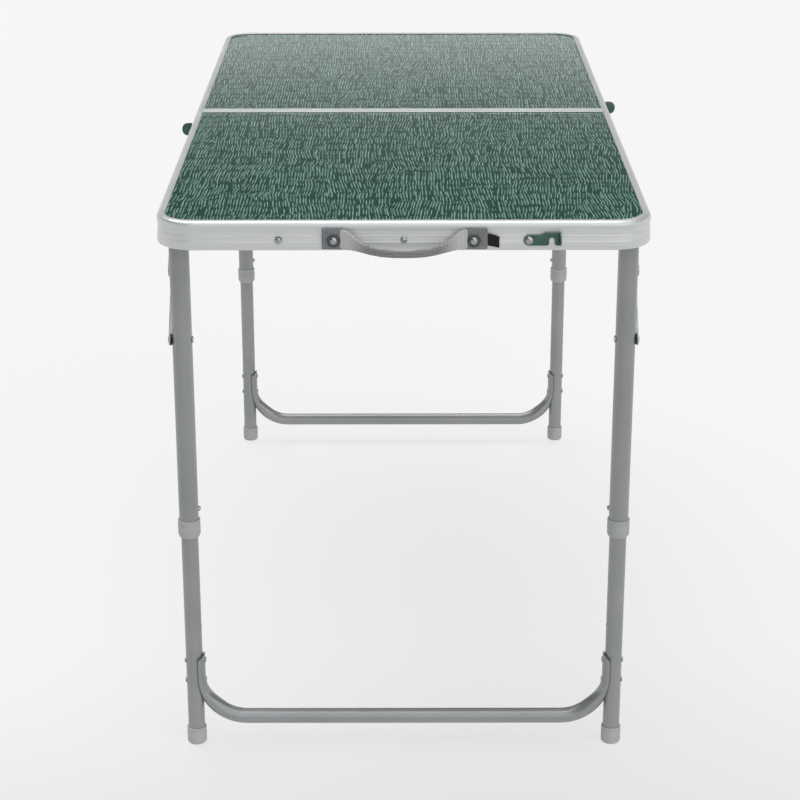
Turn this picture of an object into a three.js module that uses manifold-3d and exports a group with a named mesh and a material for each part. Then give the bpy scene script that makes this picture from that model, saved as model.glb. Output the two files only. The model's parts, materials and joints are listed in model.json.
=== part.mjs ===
// Folding picnic table: a tabletop in two hinged halves, each with a bent aluminium rail, a panel
// and a pair of telescoping legs that fold up into the rail. Millimetres, +Z up, long side along Y,
// origin on the floor at the centre of the bounding box.
import * as THREE from 'three';
import { mergeVertices } from 'three/addons/utils/BufferGeometryUtils.js';
import Module from 'manifold-3d';

const wasm = await Module();
wasm.setup();

// Driving dimensions
const WIDTH = 600;
const HALF_LENGTH = 600;
const HEIGHT = 730;
const RAIL_HEIGHT = 36;
const CORNER_RADIUS = 48;
const LIP_WIDTH = 10;
const WALL = 3;
const JOINT_GAP = 0.4;
const PANEL_THICKNESS = 3.2;
const SLOT_LOW = 30.4;
const SLOT_HIGH = 34.2;
const FLANGE = 1.6;
const LEG_X = 275;
const LEG_INSET = 50;
const PIVOT_DROP = 21;
const UPPER_RADIUS = 12.5;
const UPPER_WALL = 1.1;
const LOWER_RADIUS = 11;
const LOWER_WALL = 1.2;
const LEG_TOP = 718;
const UPPER_END = 303;
const LOWER_TOP = 392;
const COLLAR_LOW = 299;
const COLLAR_HIGH = 323;
const COLLAR_RADIUS = 14.3;
const BUTTON_Z = 337;
const RETRACTION = 164;
const FOOT_RADIUS = 12.8;
const FOOT_HEIGHT = 24;
const BRACE_RADIUS = 10;
const BRACE_Z = 38;
const BRACE_X = 253;
const BRACE_BEND = 52;
const BRACE_RIVETS = [92, 121];
const STAY_LEG_DROP = 144;
const STAY_FRAME_REACH = 130;
const STAY_FRAME_RISE = 4;
const LOWER_STAY_LENGTH = 91.6;
const UPPER_STAY_LENGTH = 105.7;
const STAY_HALF_WIDTH = 8;
const STAY_THICKNESS = 1.8;
const LOWER_STAY_X = 289.2;
const UPPER_STAY_X = 292.9;
const PIN_LEAF_X = 292.7;
const HOLE_LEAF_X = 289.4;
const LEAF_THICKNESS = 3;
const BRACKET_X = 295;
const BRACKET_THICKNESS = 1.7;
const HARDWARE_RISE = 13.2;
const HARDWARE_X = 150;
const HOOK_THICKNESS = 2;
const END_HOOK_REACH = 27.2;
const SIDE_HOOK_REACH = 36;
const SIDE_HOOK_Y = 22;
const SIDE_STUD_Y = 14;
const PIN_RADIUS = 2.5;
const CLEARANCE = 0.4;
const HANDLE_X = 84;
const GRIP_STEPS = 14;
const HANDLE_BOW = 26;
const END_TAB = { low: -6.5, high: 9.5, reach: 11 };
const SIDE_TAB = { low: 1, high: 19.5, reach: 15 };
const PIN_SIDES = 8;
const TUBE_SIDES = 16;

const RAIL_BOTTOM = HEIGHT - RAIL_HEIGHT;
const PIVOT_Z = HEIGHT - PIVOT_DROP;
const LEG_Y = -HALF_LENGTH + LEG_INSET;
const HARDWARE_Z = RAIL_BOTTOM + HARDWARE_RISE;
const HINGE_Z = RAIL_BOTTOM;
const PLATE_GAP = 0.4;

const FINISHES = {
  aluminium: { color: '#b8babb', roughness: 0.35, metalness: 0.9 },
  panel: { color: '#34584e', roughness: 0.3, metalness: 0 },
  leg: { color: '#8a8d8e', roughness: 0.4, metalness: 0.5 },
  plastic: { color: '#9a9c9b', roughness: 0.6, metalness: 0 },
  steel: { color: '#a7a9aa', roughness: 0.3, metalness: 1 },
  hook: { color: '#3c5f50', roughness: 0.45, metalness: 0.2 },
  webbing: { color: '#4a4c4c', roughness: 0.9, metalness: 0 },
  tag: { color: '#141414', roughness: 0.8, metalness: 0 },
};

function toSolid(geometry) {
  const bare = geometry.clone();
  bare.deleteAttribute('normal');
  bare.deleteAttribute('uv');
  const merged = mergeVertices(bare, 1e-4);
  const triVerts = Uint32Array.from(merged.index.array);
  const vertProperties = Float32Array.from(merged.attributes.position.array);
  return new wasm.Manifold(new wasm.Mesh({ numProp: 3, vertProperties, triVerts }));
}

// Joins the geometries in `add` to the base, then cuts away those in `cut`.
function shaped(base, { add = [], cut = [] }) {
  let solid = toSolid(base);
  for (const piece of add) {
    solid = solid.add(toSolid(piece));
  }
  for (const piece of cut) {
    solid = solid.subtract(toSolid(piece));
  }
  const mesh = solid.getMesh();
  const geometry = new THREE.BufferGeometry();
  geometry.setAttribute('position', new THREE.BufferAttribute(mesh.vertProperties, 3));
  geometry.setIndex(new THREE.BufferAttribute(mesh.triVerts, 1));
  geometry.computeVertexNormals();
  return geometry;
}

function node(name, geometry, finish) {
  const mesh = new THREE.Mesh(geometry, new THREE.MeshStandardMaterial(FINISHES[finish]));
  mesh.name = name;
  return mesh;
}

function rod(radius, start, end, sides = PIN_SIDES) {
  const from = new THREE.Vector3(...start);
  const to = new THREE.Vector3(...end);
  const along = to.clone().sub(from);
  const geometry = new THREE.CylinderGeometry(radius, radius, along.length(), sides);
  const turn = new THREE.Quaternion();
  turn.setFromUnitVectors(new THREE.Vector3(0, 1, 0), along.clone().normalize());
  geometry.applyQuaternion(turn);
  return geometry.translate(...from.add(to).multiplyScalar(0.5).toArray());
}

function rodX(radius, x0, x1, y, z, sides) {
  return rod(radius, [x0, y, z], [x1, y, z], sides);
}

function rodY(radius, y0, y1, x, z, sides) {
  return rod(radius, [x, y0, z], [x, y1, z], sides);
}

function slab(low, high) {
  const size = high.map((value, i) => value - low[i]);
  const centre = high.map((value, i) => (value + low[i]) / 2);
  return new THREE.BoxGeometry(...size).translate(...centre);
}

// An outline drawn in (y, z), extruded along X between x0 and x1.
function alongX(shape, x0, x1, curveSegments = 6) {
  const options = { depth: Math.abs(x1 - x0), bevelEnabled: false, curveSegments };
  const geometry = new THREE.ExtrudeGeometry(shape, options);
  geometry.applyMatrix4(new THREE.Matrix4().set(0, 0, 1, 0, 1, 0, 0, 0, 0, 1, 0, 0, 0, 0, 0, 1));
  return geometry.translate(Math.min(x0, x1), 0, 0);
}

// A path of straight runs and square corners rounded to one radius, stepped only in the bends.
class RoundedRoute extends THREE.Curve {
  constructor(corners, radius, arcSteps) {
    super();
    const points = corners.map((corner) => new THREE.Vector3(...corner));
    const way = (i) => points[i + 1].clone().sub(points[i]).normalize();
    this.stations = [{ point: points[0], tangent: way(0) }];
    for (let i = 1; i < points.length - 1; i += 1) {
      for (let k = 0; k <= arcSteps; k += 1) {
        const turn = (k / arcSteps) * (Math.PI / 2);
        const point = points[i].clone();
        point.addScaledVector(way(i - 1), radius * (Math.sin(turn) - 1));
        point.addScaledVector(way(i), radius * (1 - Math.cos(turn)));
        const tangent = way(i - 1).multiplyScalar(Math.cos(turn));
        tangent.addScaledVector(way(i), Math.sin(turn));
        this.stations.push({ point, tangent });
      }
    }
    this.stations.push({ point: points.at(-1), tangent: way(points.length - 2) });
  }

  get steps() {
    return this.stations.length - 1;
  }

  getPointAt(u) {
    return this.stations[Math.round(u * this.steps)].point.clone();
  }

  getTangentAt(u) {
    return this.stations[Math.round(u * this.steps)].tangent.clone();
  }
}

function sweep(shape, route, curveSegments = 4) {
  return new THREE.ExtrudeGeometry(shape, { steps: route.steps, extrudePath: route, curveSegments });
}

// The rail's section: x is the distance in from the outer face, y the height above its bottom edge.
function railSection() {
  const section = new THREE.Shape();
  section.moveTo(2.4, 0);
  section.quadraticCurveTo(0, 0, 0, 4);
  section.lineTo(0, 11);
  section.quadraticCurveTo(0.2, 15, 1.2, 19);
  section.lineTo(1.2, 24);
  section.quadraticCurveTo(0.2, 28, 0, 31);
  section.lineTo(0, 33);
  section.quadraticCurveTo(0, RAIL_HEIGHT, 3, RAIL_HEIGHT);
  section.lineTo(LIP_WIDTH - 0.8, RAIL_HEIGHT);
  section.quadraticCurveTo(LIP_WIDTH, RAIL_HEIGHT, LIP_WIDTH, RAIL_HEIGHT - 0.8);
  section.lineTo(LIP_WIDTH, SLOT_HIGH);
  section.lineTo(WALL, SLOT_HIGH);
  section.lineTo(WALL, SLOT_LOW);
  section.lineTo(LIP_WIDTH, SLOT_LOW);
  section.lineTo(LIP_WIDTH, SLOT_LOW - FLANGE);
  section.lineTo(WALL, SLOT_LOW - FLANGE);
  section.lineTo(WALL, 3.4);
  section.quadraticCurveTo(4, 3, 4, 1.8);
  section.quadraticCurveTo(4, 0, 2.4, 0);
  return section;
}

function frameRail(name) {
  const side = WIDTH / 2;
  const corners = [
    [-side, -JOINT_GAP, RAIL_BOTTOM],
    [-side, -HALF_LENGTH, RAIL_BOTTOM],
    [side, -HALF_LENGTH, RAIL_BOTTOM],
    [side, -JOINT_GAP, RAIL_BOTTOM],
  ];
  // A swept outline's x axis points down and its y axis points inwards.
  const section = railSection().getPoints(2).map((point) => new THREE.Vector2(-point.y, point.x));
  const rail = sweep(new THREE.Shape(section), new RoundedRoute(corners, CORNER_RADIUS, 6));
  const hole = PIN_RADIUS + CLEARANCE;
  const inside = -HALF_LENGTH + 2 * WALL;
  const outside = -HALF_LENGTH - WALL;
  const cut = [0, HARDWARE_X, -HARDWARE_X, HANDLE_X, -HANDLE_X].map((x) => (
    rodY(hole, outside, inside, x, HARDWARE_Z)
  ));
  cut.push(rodX(hole, -side - WALL, -side + 2 * WALL, -SIDE_HOOK_Y, HARDWARE_Z));
  const stud = [
    rodX(PIN_RADIUS, side - WALL / 2, side + 4.4, -SIDE_STUD_Y, HARDWARE_Z),
    rodX(4.6, side + 2.9, side + 4.6, -SIDE_STUD_Y, HARDWARE_Z),
  ];
  return node(name, shaped(rail, { add: stud, cut }), 'aluminium');
}

function tablePanel(name) {
  const inset = WALL + CLEARANCE;
  const side = WIDTH / 2 - inset;
  const end = -HALF_LENGTH + inset;
  const radius = CORNER_RADIUS - inset;
  const joint = -2.2 - CLEARANCE;
  const outline = new THREE.Shape();
  outline.moveTo(-side, joint);
  outline.lineTo(-side, end + radius);
  outline.absarc(-side + radius, end + radius, radius, Math.PI, 1.5 * Math.PI);
  outline.absarc(side - radius, end + radius, radius, 1.5 * Math.PI, 2 * Math.PI);
  outline.lineTo(side, joint);
  const options = { depth: PANEL_THICKNESS, bevelEnabled: false, curveSegments: 10 };
  const plate = new THREE.ExtrudeGeometry(outline, options);
  const middle = (SLOT_LOW + SLOT_HIGH) / 2;
  return node(name, plate.translate(0, 0, RAIL_BOTTOM + middle - PANEL_THICKNESS / 2), 'panel');
}

// The strip that edges the panel where the two halves meet.
function centreStrip(name) {
  const back = -JOINT_GAP - LIP_WIDTH;
  const wall = -JOINT_GAP - 1.8;
  const section = new THREE.Shape();
  section.moveTo(-JOINT_GAP, SLOT_LOW - FLANGE);
  section.lineTo(-JOINT_GAP, RAIL_HEIGHT - 1);
  section.quadraticCurveTo(-JOINT_GAP, RAIL_HEIGHT, -JOINT_GAP - 1, RAIL_HEIGHT);
  section.lineTo(back + 0.8, RAIL_HEIGHT);
  section.quadraticCurveTo(back, RAIL_HEIGHT, back, RAIL_HEIGHT - 0.8);
  section.lineTo(back, SLOT_HIGH);
  section.lineTo(wall, SLOT_HIGH);
  section.lineTo(wall, SLOT_LOW);
  section.lineTo(back, SLOT_LOW);
  section.lineTo(back, SLOT_LOW - FLANGE);
  const reach = WIDTH / 2 - LIP_WIDTH - 0.3;
  const strip = alongX(section, -reach, reach, 3);
  return node(name, strip.translate(0, 0, RAIL_BOTTOM), 'aluminium');
}

// A hat channel under the panel, halfway along it.
function supportChannel(name) {
  const top = SLOT_LOW;
  const skin = 1.4;
  const depth = 8;
  const crown = 11;
  const brim = 25;
  const section = new THREE.Shape();
  section.moveTo(-brim, top);
  section.lineTo(-brim, top - skin);
  section.lineTo(-crown - skin, top - skin);
  section.lineTo(-crown, top - depth);
  section.lineTo(crown, top - depth);
  section.lineTo(crown + skin, top - skin);
  section.lineTo(brim, top - skin);
  section.lineTo(brim, top);
  section.lineTo(crown, top);
  section.lineTo(crown - skin, top - depth + skin);
  section.lineTo(-crown + skin, top - depth + skin);
  section.lineTo(-crown, top);
  const channel = alongX(section, -250, 250).translate(0, -HALF_LENGTH / 2, RAIL_BOTTOM);
  return node(name, channel, 'aluminium');
}

// The steel bracket inside a side rail, with the leg's pivot pin and the upper stay's pin.
function legBracket(name, side) {
  const inner = side * BRACKET_X;
  const outer = side * (BRACKET_X + BRACKET_THICKNESS);
  const low = [Math.min(inner, outer), LEG_Y - 2, PIVOT_Z - 9];
  const high = [Math.max(inner, outer), LEG_Y + STAY_FRAME_REACH + 18, PIVOT_Z + 12.8];
  const headX = side * (LEG_X - UPPER_RADIUS - CLEARANCE);
  const bossX = side * (LEG_X + UPPER_RADIUS + CLEARANCE);
  const stayY = LEG_Y + STAY_FRAME_REACH;
  const stayZ = PIVOT_Z + STAY_FRAME_RISE;
  const add = [
    rodX(3, headX - side, outer, LEG_Y, PIVOT_Z),
    rodX(6, bossX, inner + side * 0.5, LEG_Y, PIVOT_Z),
    rodX(6, headX - side * 2.2, headX, LEG_Y, PIVOT_Z),
    rodX(3, side * (UPPER_STAY_X - 1), outer, stayY, stayZ),
    rodX(5, side * (UPPER_STAY_X - 1.9), side * (UPPER_STAY_X - 0.3), stayY, stayZ),
  ];
  return node(name, shaped(slab(low, high), { add }), 'steel');
}

// A flat bar between two (y, z) points with round ends.
function barOutline(start, end, halfWidth) {
  const angle = Math.atan2(end[1] - start[1], end[0] - start[0]);
  const outline = new THREE.Shape();
  outline.absarc(start[0], start[1], halfWidth, angle + Math.PI / 2, angle + 1.5 * Math.PI);
  outline.absarc(end[0], end[1], halfWidth, angle - Math.PI / 2, angle + Math.PI / 2);
  return outline;
}

// Where the two halves of a folding stay meet: a little past the straight line, on the leg's side.
function stayKnee() {
  const leg = [LEG_Y, PIVOT_Z - STAY_LEG_DROP];
  const frame = [LEG_Y + STAY_FRAME_REACH, PIVOT_Z + STAY_FRAME_RISE];
  const span = Math.hypot(frame[0] - leg[0], frame[1] - leg[1]);
  const square = LOWER_STAY_LENGTH ** 2 + span ** 2 - UPPER_STAY_LENGTH ** 2;
  const bend = Math.acos(square / (2 * LOWER_STAY_LENGTH * span));
  const angle = Math.atan2(frame[1] - leg[1], frame[0] - leg[0]) + bend;
  const knee = [
    leg[0] + LOWER_STAY_LENGTH * Math.cos(angle),
    leg[1] + LOWER_STAY_LENGTH * Math.sin(angle),
  ];
  return { leg, knee, frame };
}

function lowerStay(name, side) {
  const { leg, knee } = stayKnee();
  const inner = side * LOWER_STAY_X;
  const outer = side * (LOWER_STAY_X + STAY_THICKNESS);
  const tube = LEG_X + UPPER_RADIUS;
  const legSide = LEG_X - UPPER_RADIUS;
  const add = [
    rodX(PIN_RADIUS, side * (legSide - 1), outer, ...leg),
    rodX(5, side * (legSide - 2), side * (legSide - 0.3), ...leg),
    rodX(7, side * (tube + 0.3), side * (LOWER_STAY_X + 0.2), ...leg),
    rodX(5, outer - side * 0.2, outer + side * 1.6, ...leg),
    rodX(5, outer - side * 0.2, outer + side * 1.6, ...knee),
  ];
  const bar = alongX(barOutline(leg, knee, STAY_HALF_WIDTH), inner, outer, 5);
  return node(name, shaped(bar, { add }), 'steel');
}

function upperStay(name, side) {
  const { knee, frame } = stayKnee();
  const inner = side * UPPER_STAY_X;
  const outer = side * (UPPER_STAY_X + STAY_THICKNESS);
  const bar = alongX(barOutline(knee, frame, STAY_HALF_WIDTH), inner, outer, 5);
  const add = [rodX(4, outer - side * 0.2, outer + side * 0.8, ...knee)];
  const cut = [rodX(3 + CLEARANCE, inner - side * 2, outer + side * 2, ...frame)];
  return node(name, shaped(bar, { add, cut }), 'steel');
}

// A lug hinge strap inside a side rail: the left one carries the pin, the right one the hole.
function hingeLeaf(name, side) {
  const withPin = side < 0;
  const inner = side * (withPin ? PIN_LEAF_X : HOLE_LEAF_X);
  const outer = inner + side * LEAF_THICKNESS;
  const strap = new THREE.Shape();
  strap.moveTo(-46, HINGE_Z + 6);
  strap.lineTo(-16, HINGE_Z + 6);
  strap.absarc(0, HINGE_Z, 6, 1.2 * Math.PI, 2.55 * Math.PI);
  strap.lineTo(-14, HINGE_Z + 24);
  strap.lineTo(-46, HINGE_Z + 24);
  const plate = alongX(strap, inner, outer, 8);
  const wall = side * (WIDTH / 2 - WALL - 0.3);
  const xs = [outer - side * 0.2, wall].sort((a, b) => a - b);
  const add = [slab([xs[0], -44, HINGE_Z + 8], [xs[1], -18, HINGE_Z + 22])];
  if (!withPin) {
    const hole = rodX(PIN_RADIUS + CLEARANCE, inner - side * 9, outer + side * 7, 0, HINGE_Z);
    return node(name, shaped(plate, { add, cut: [hole] }), 'steel');
  }
  const headX = side * (HOLE_LEAF_X - 0.3);
  add.push(rodX(PIN_RADIUS, headX - side * 1.6, outer - side, 0, HINGE_Z));
  add.push(rodX(4.5, headX - side * 2.1, headX, 0, HINGE_Z));
  return node(name, shaped(plate, { add }), 'steel');
}

// A latch hook pointing along +X from its pivot, standing off the face behind it towards -Y.
function hookGeometry(reach, tab) {
  const end = reach + 11;
  const slot = PIN_RADIUS + 0.9;
  const outline = new THREE.Shape();
  outline.absarc(0, 0, 6.5, Math.PI / 2, 1.5 * Math.PI);
  outline.lineTo(reach - slot - 1.6, -6.5);
  outline.lineTo(reach - slot, -4.5);
  outline.absarc(reach, 0, slot, Math.PI, 0, true);
  outline.lineTo(reach + slot, -4.5);
  outline.lineTo(reach + slot + 1.6, -6.5);
  outline.lineTo(end, -6.5);
  outline.lineTo(end, 9.5);
  outline.lineTo(reach - 8, 9.5);
  outline.quadraticCurveTo(reach - 11, 6.5, reach - 15, 6.5);
  const hole = new THREE.Path();
  hole.absarc(0, 0, PIN_RADIUS + CLEARANCE, 0, 2 * Math.PI);
  outline.holes.push(hole);
  const options = { depth: HOOK_THICKNESS, bevelEnabled: false, curveSegments: 6 };
  const plate = new THREE.ExtrudeGeometry(outline, options);
  const tip = tab.reach - PLATE_GAP;
  const tabOutline = new THREE.Shape();
  tabOutline.moveTo(tab.low, HOOK_THICKNESS / 2);
  tabOutline.lineTo(tab.high, HOOK_THICKNESS / 2);
  tabOutline.lineTo(tab.high, HOOK_THICKNESS + 1);
  tabOutline.quadraticCurveTo(tab.high, tip, (tab.low + tab.high) / 2, tip);
  tabOutline.quadraticCurveTo(tab.low, tip, tab.low, HOOK_THICKNESS + 1);
  const hook = shaped(plate, { add: [alongX(tabOutline, end - HOOK_THICKNESS, end)] });
  return hook.rotateX(Math.PI / 2).translate(0, -PLATE_GAP, 0);
}

function endHook(name) {
  const hook = hookGeometry(END_HOOK_REACH, END_TAB);
  return node(name, hook.translate(HARDWARE_X, -HALF_LENGTH, HARDWARE_Z), 'hook');
}

// The side hook carries its own rivet, which passes through the rail.
function sideHook(name) {
  const back = PLATE_GAP + HOOK_THICKNESS;
  const add = [
    rodY(5, -back - 1.8, -back + 0.5, 0, 0),
    rodY(PIN_RADIUS, -back, WALL - 0.2, 0, 0),
  ];
  const geometry = shaped(hookGeometry(SIDE_HOOK_REACH, SIDE_TAB), { add });
  geometry.rotateZ(-Math.PI / 2).translate(-WIDTH / 2, -SIDE_HOOK_Y, HARDWARE_Z);
  return node(name, geometry, 'hook');
}

// A fastener through the end rail: shank, inner head, and an outer head at the given stand-off.
function railFastener(name, x, standOff, headRadius, headThickness, finish = 'steel') {
  const face = -HALF_LENGTH;
  const headBack = face - standOff;
  const shank = rodY(PIN_RADIUS, headBack - headThickness / 2, face + WALL + 1.5, x, HARDWARE_Z);
  const add = [
    rodY(headRadius, headBack - headThickness, headBack, x, HARDWARE_Z, 12),
    rodY(4.5, face + WALL + 0.4, face + WALL + 2, x, HARDWARE_Z),
  ];
  return node(name, shaped(shank, { add }), finish);
}

// The carrying handle: two sewn patches and a rolled grip that bows out between them.
function handleStrap(name) {
  const face = -HALF_LENGTH - PLATE_GAP;
  const patchLow = RAIL_BOTTOM + 2.4;
  const patchHigh = RAIL_BOTTOM + 28;
  const patch = (x) => slab([x - 13, face - 3, patchLow], [x + 13, face, patchHigh]);
  const route = new THREE.CatmullRomCurve3([
    [-78, -5, 14],
    [-58, -13, 10],
    [-30, -20, 5],
    [0, -22, 3.5],
    [30, -20, 5],
    [58, -13, 10],
    [78, -5, 14],
  ].map(([x, y, z]) => new THREE.Vector3(x, face + y, RAIL_BOTTOM + z)));
  const section = new THREE.Shape();
  section.absellipse(0, 0, 6.5, 3.6, 0, 2 * Math.PI);
  const options = { steps: GRIP_STEPS, extrudePath: route, curveSegments: 8 };
  const grip = new THREE.ExtrudeGeometry(section, options);
  const holes = [-HANDLE_X, HANDLE_X].map((x) => (
    rodY(PIN_RADIUS + CLEARANCE, face - 12, face + 1, x, HARDWARE_Z)
  ));
  const strap = shaped(patch(-HANDLE_X - 1), { add: [grip, patch(HANDLE_X + 3)], cut: holes });
  return node(name, strap, 'webbing');
}

function labelTag(name) {
  const outline = new THREE.Shape();
  outline.moveTo(0, 4);
  outline.lineTo(14, 1);
  outline.lineTo(14, 15);
  outline.lineTo(0, 19);
  const tag = new THREE.ExtrudeGeometry(outline, { depth: 1.4, bevelEnabled: false });
  tag.rotateX(Math.PI / 2).translate(HANDLE_X + 16.4, -HALF_LENGTH - 1, RAIL_BOTTOM + 3);
  return node(name, tag, 'tag');
}

function ring(outer, inner, low, high) {
  const profile = [
    new THREE.Vector2(inner, low),
    new THREE.Vector2(outer, low),
    new THREE.Vector2(outer, high),
    new THREE.Vector2(inner, high),
    new THREE.Vector2(inner, low),
  ];
  return lathed(profile);
}

function lathed(profile) {
  return new THREE.LatheGeometry(profile, TUBE_SIDES).rotateX(Math.PI / 2);
}

function upperLeg(name, side) {
  const tube = ring(UPPER_RADIUS, UPPER_RADIUS - UPPER_WALL, UPPER_END, LEG_TOP);
  tube.translate(side * LEG_X, LEG_Y, 0);
  const near = side * (LEG_X - 20);
  const far = side * (LEG_X + 20);
  const cut = [
    rodX(3 + CLEARANCE, near, far, LEG_Y, PIVOT_Z),
    rodX(PIN_RADIUS + CLEARANCE, near, far, LEG_Y, PIVOT_Z - STAY_LEG_DROP),
    rodX(3.9, near, side * LEG_X, LEG_Y, BUTTON_Z),
  ];
  return node(name, shaped(tube, { cut }), 'leg');
}

function collar(name, side) {
  const grip = UPPER_RADIUS + 0.3;
  const throat = LOWER_RADIUS + 0.3;
  const profile = [
    [throat, COLLAR_LOW],
    [COLLAR_RADIUS - 1.6, COLLAR_LOW],
    [COLLAR_RADIUS, COLLAR_LOW + 3],
    [COLLAR_RADIUS, COLLAR_HIGH - 1],
    [COLLAR_RADIUS - 0.6, COLLAR_HIGH],
    [grip, COLLAR_HIGH],
    [grip, UPPER_END - 0.4],
    [throat, UPPER_END - 0.4],
    [throat, COLLAR_LOW],
  ].map(([r, z]) => new THREE.Vector2(r, z));
  return node(name, lathed(profile).translate(side * LEG_X, LEG_Y, 0), 'plastic');
}

function lowerLeg(name, side) {
  const tube = ring(LOWER_RADIUS, LOWER_RADIUS - LOWER_WALL, 4.4, LOWER_TOP);
  tube.translate(side * LEG_X, LEG_Y, 0);
  const near = side * (LEG_X - 20);
  const cut = [
    rodX(3.9, near, side * LEG_X, LEG_Y, BUTTON_Z),
    rodX(3.9, near, side * LEG_X, LEG_Y, BUTTON_Z - RETRACTION),
  ];
  for (const z of BRACE_RIVETS) {
    cut.push(rodX(2.7, near, side * (LEG_X + 20), LEG_Y, z));
  }
  return node(name, shaped(tube, { cut }), 'leg');
}

function foot(name, side) {
  const bore = LOWER_RADIUS + 0.3;
  const profile = new THREE.Path();
  profile.moveTo(0, 0);
  profile.lineTo(FOOT_RADIUS - 3, 0);
  profile.quadraticCurveTo(FOOT_RADIUS, 0, FOOT_RADIUS, 3.4);
  profile.lineTo(FOOT_RADIUS, FOOT_HEIGHT - 1);
  profile.lineTo(FOOT_RADIUS - 0.7, FOOT_HEIGHT);
  profile.lineTo(bore, FOOT_HEIGHT);
  profile.lineTo(bore, 4);
  profile.lineTo(0, 4);
  return node(name, lathed(profile.getPoints(2)).translate(side * LEG_X, LEG_Y, 0), 'plastic');
}

// The U-shaped brace between the lower legs, with flattened ends riveted to them.
function legBrace(name) {
  const top = 101;
  const corners = [
    [-BRACE_X, LEG_Y, top],
    [-BRACE_X, LEG_Y, BRACE_Z],
    [BRACE_X, LEG_Y, BRACE_Z],
    [BRACE_X, LEG_Y, top],
  ];
  const circle = new THREE.Shape();
  circle.absarc(0, 0, BRACE_RADIUS, 0, 2 * Math.PI);
  const tube = sweep(circle, new RoundedRoute(corners, BRACE_BEND, 5), 10);
  const add = [];
  for (const side of [-1, 1]) {
    const face = side * (LEG_X - LOWER_RADIUS - 0.5);
    const flat = face - side * 4;
    const back = side * (BRACE_X - BRACE_RADIUS + 0.4);
    const outline = new THREE.Shape();
    outline.moveTo(back, 96);
    outline.lineTo(back, 103);
    outline.quadraticCurveTo(flat, 106, flat, 118);
    outline.lineTo(flat, 128);
    outline.lineTo(face, 131);
    outline.lineTo(face, 96);
    const options = { depth: 2 * BRACE_RADIUS - 1, bevelEnabled: false, curveSegments: 4 };
    const end = new THREE.ExtrudeGeometry(outline, options).rotateX(Math.PI / 2);
    add.push(end.translate(0, LEG_Y + BRACE_RADIUS - 0.5, 0));
    const outer = side * (LEG_X + LOWER_RADIUS + 0.3);
    for (const z of BRACE_RIVETS) {
      add.push(rodX(2.3, face - side * 2, outer + side, LEG_Y, z));
      add.push(rodX(4.5, outer, outer + side * 1.8, LEG_Y, z));
    }
    add.push(rodX(4.5, flat - side * 1.6, flat + side, LEG_Y, BRACE_RIVETS[1]));
    add.push(rodX(4.5, back - side * 1.6, back + side * 3, LEG_Y, BRACE_RIVETS[0]));
  }
  return node(name, shaped(tube, { add }), 'leg');
}

// The sprung button that locks the telescoping legs, standing out on the leg's inner side.
function springButton(name, side) {
  const base = LOWER_RADIUS + 0.3;
  const tip = UPPER_RADIUS + 3.2;
  const profile = new THREE.Path();
  profile.moveTo(0, base);
  profile.lineTo(3.4, base);
  profile.lineTo(3.4, tip - 2.4);
  profile.quadraticCurveTo(3.4, tip, 0, tip);
  const button = new THREE.LatheGeometry(profile.getPoints(2), PIN_SIDES + 2);
  button.rotateZ(side * Math.PI / 2);
  return node(name, button.translate(side * LEG_X, LEG_Y, BUTTON_Z), 'steel');
}

function legPair(half) {
  const pieces = [legBrace(`${half}_brace`)];
  for (const [label, side] of [['left', -1], ['right', 1]]) {
    pieces.push(
      legBracket(`${half}_${label}_bracket`, side),
      upperLeg(`${half}_${label}_upper_leg`, side),
      collar(`${half}_${label}_collar`, side),
      lowerLeg(`${half}_${label}_lower_leg`, side),
      foot(`${half}_${label}_foot`, side),
      springButton(`${half}_${label}_button`, side),
      lowerStay(`${half}_${label}_lower_stay`, side),
      upperStay(`${half}_${label}_upper_stay`, side),
    );
  }
  return pieces;
}

function tableHalf(half) {
  const group = new THREE.Group();
  group.add(
    frameRail(`${half}_frame`),
    tablePanel(`${half}_panel`),
    centreStrip(`${half}_center_strip`),
    supportChannel(`${half}_support`),
    hingeLeaf(`${half}_left_hinge`, -1),
    hingeLeaf(`${half}_right_hinge`, 1),
    endHook(`${half}_end_hook`),
    sideHook(`${half}_side_hook`),
    railFastener(`${half}_hook_rivet`, HARDWARE_X, PLATE_GAP + HOOK_THICKNESS + 0.3, 5, 1.8),
    railFastener(`${half}_keeper_stud`, -HARDWARE_X, PLATE_GAP + HOOK_THICKNESS + 0.5, 4.6, 1.8),
    ...legPair(half),
  );
  return group;
}

const table = new THREE.Group();
const near = tableHalf('near');
near.add(
  handleStrap('handle_strap'),
  labelTag('label_tag'),
  railFastener('handle_left_screw', -HANDLE_X, 8.9, 4, 1.8),
  railFastener('handle_right_screw', HANDLE_X, 8.9, 4, 1.8),
  railFastener('center_rivet', 0, 0.4, 4, 1.6),
);
const far = tableHalf('far');
far.rotation.z = Math.PI;
table.add(near, far);
// The handle stands out further than the far end's hook tab, so the table sits off-centre in its box.
table.position.y = (HANDLE_BOW - END_TAB.reach) / 2;

export default table;
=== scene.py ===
# %% [markdown]
# # A folding picnic table
# The table folds across its middle like a suitcase. Each half is a glossy printed panel held in a bent
# aluminium rail, with two telescoping steel legs, a U-shaped brace and a pair of folding stays. The
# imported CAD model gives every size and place, and this lesson builds the finished surfaces around it.

# %% Load the frame
import json
import math

import bmesh
import bpy
from mathutils import Matrix, Vector


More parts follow.
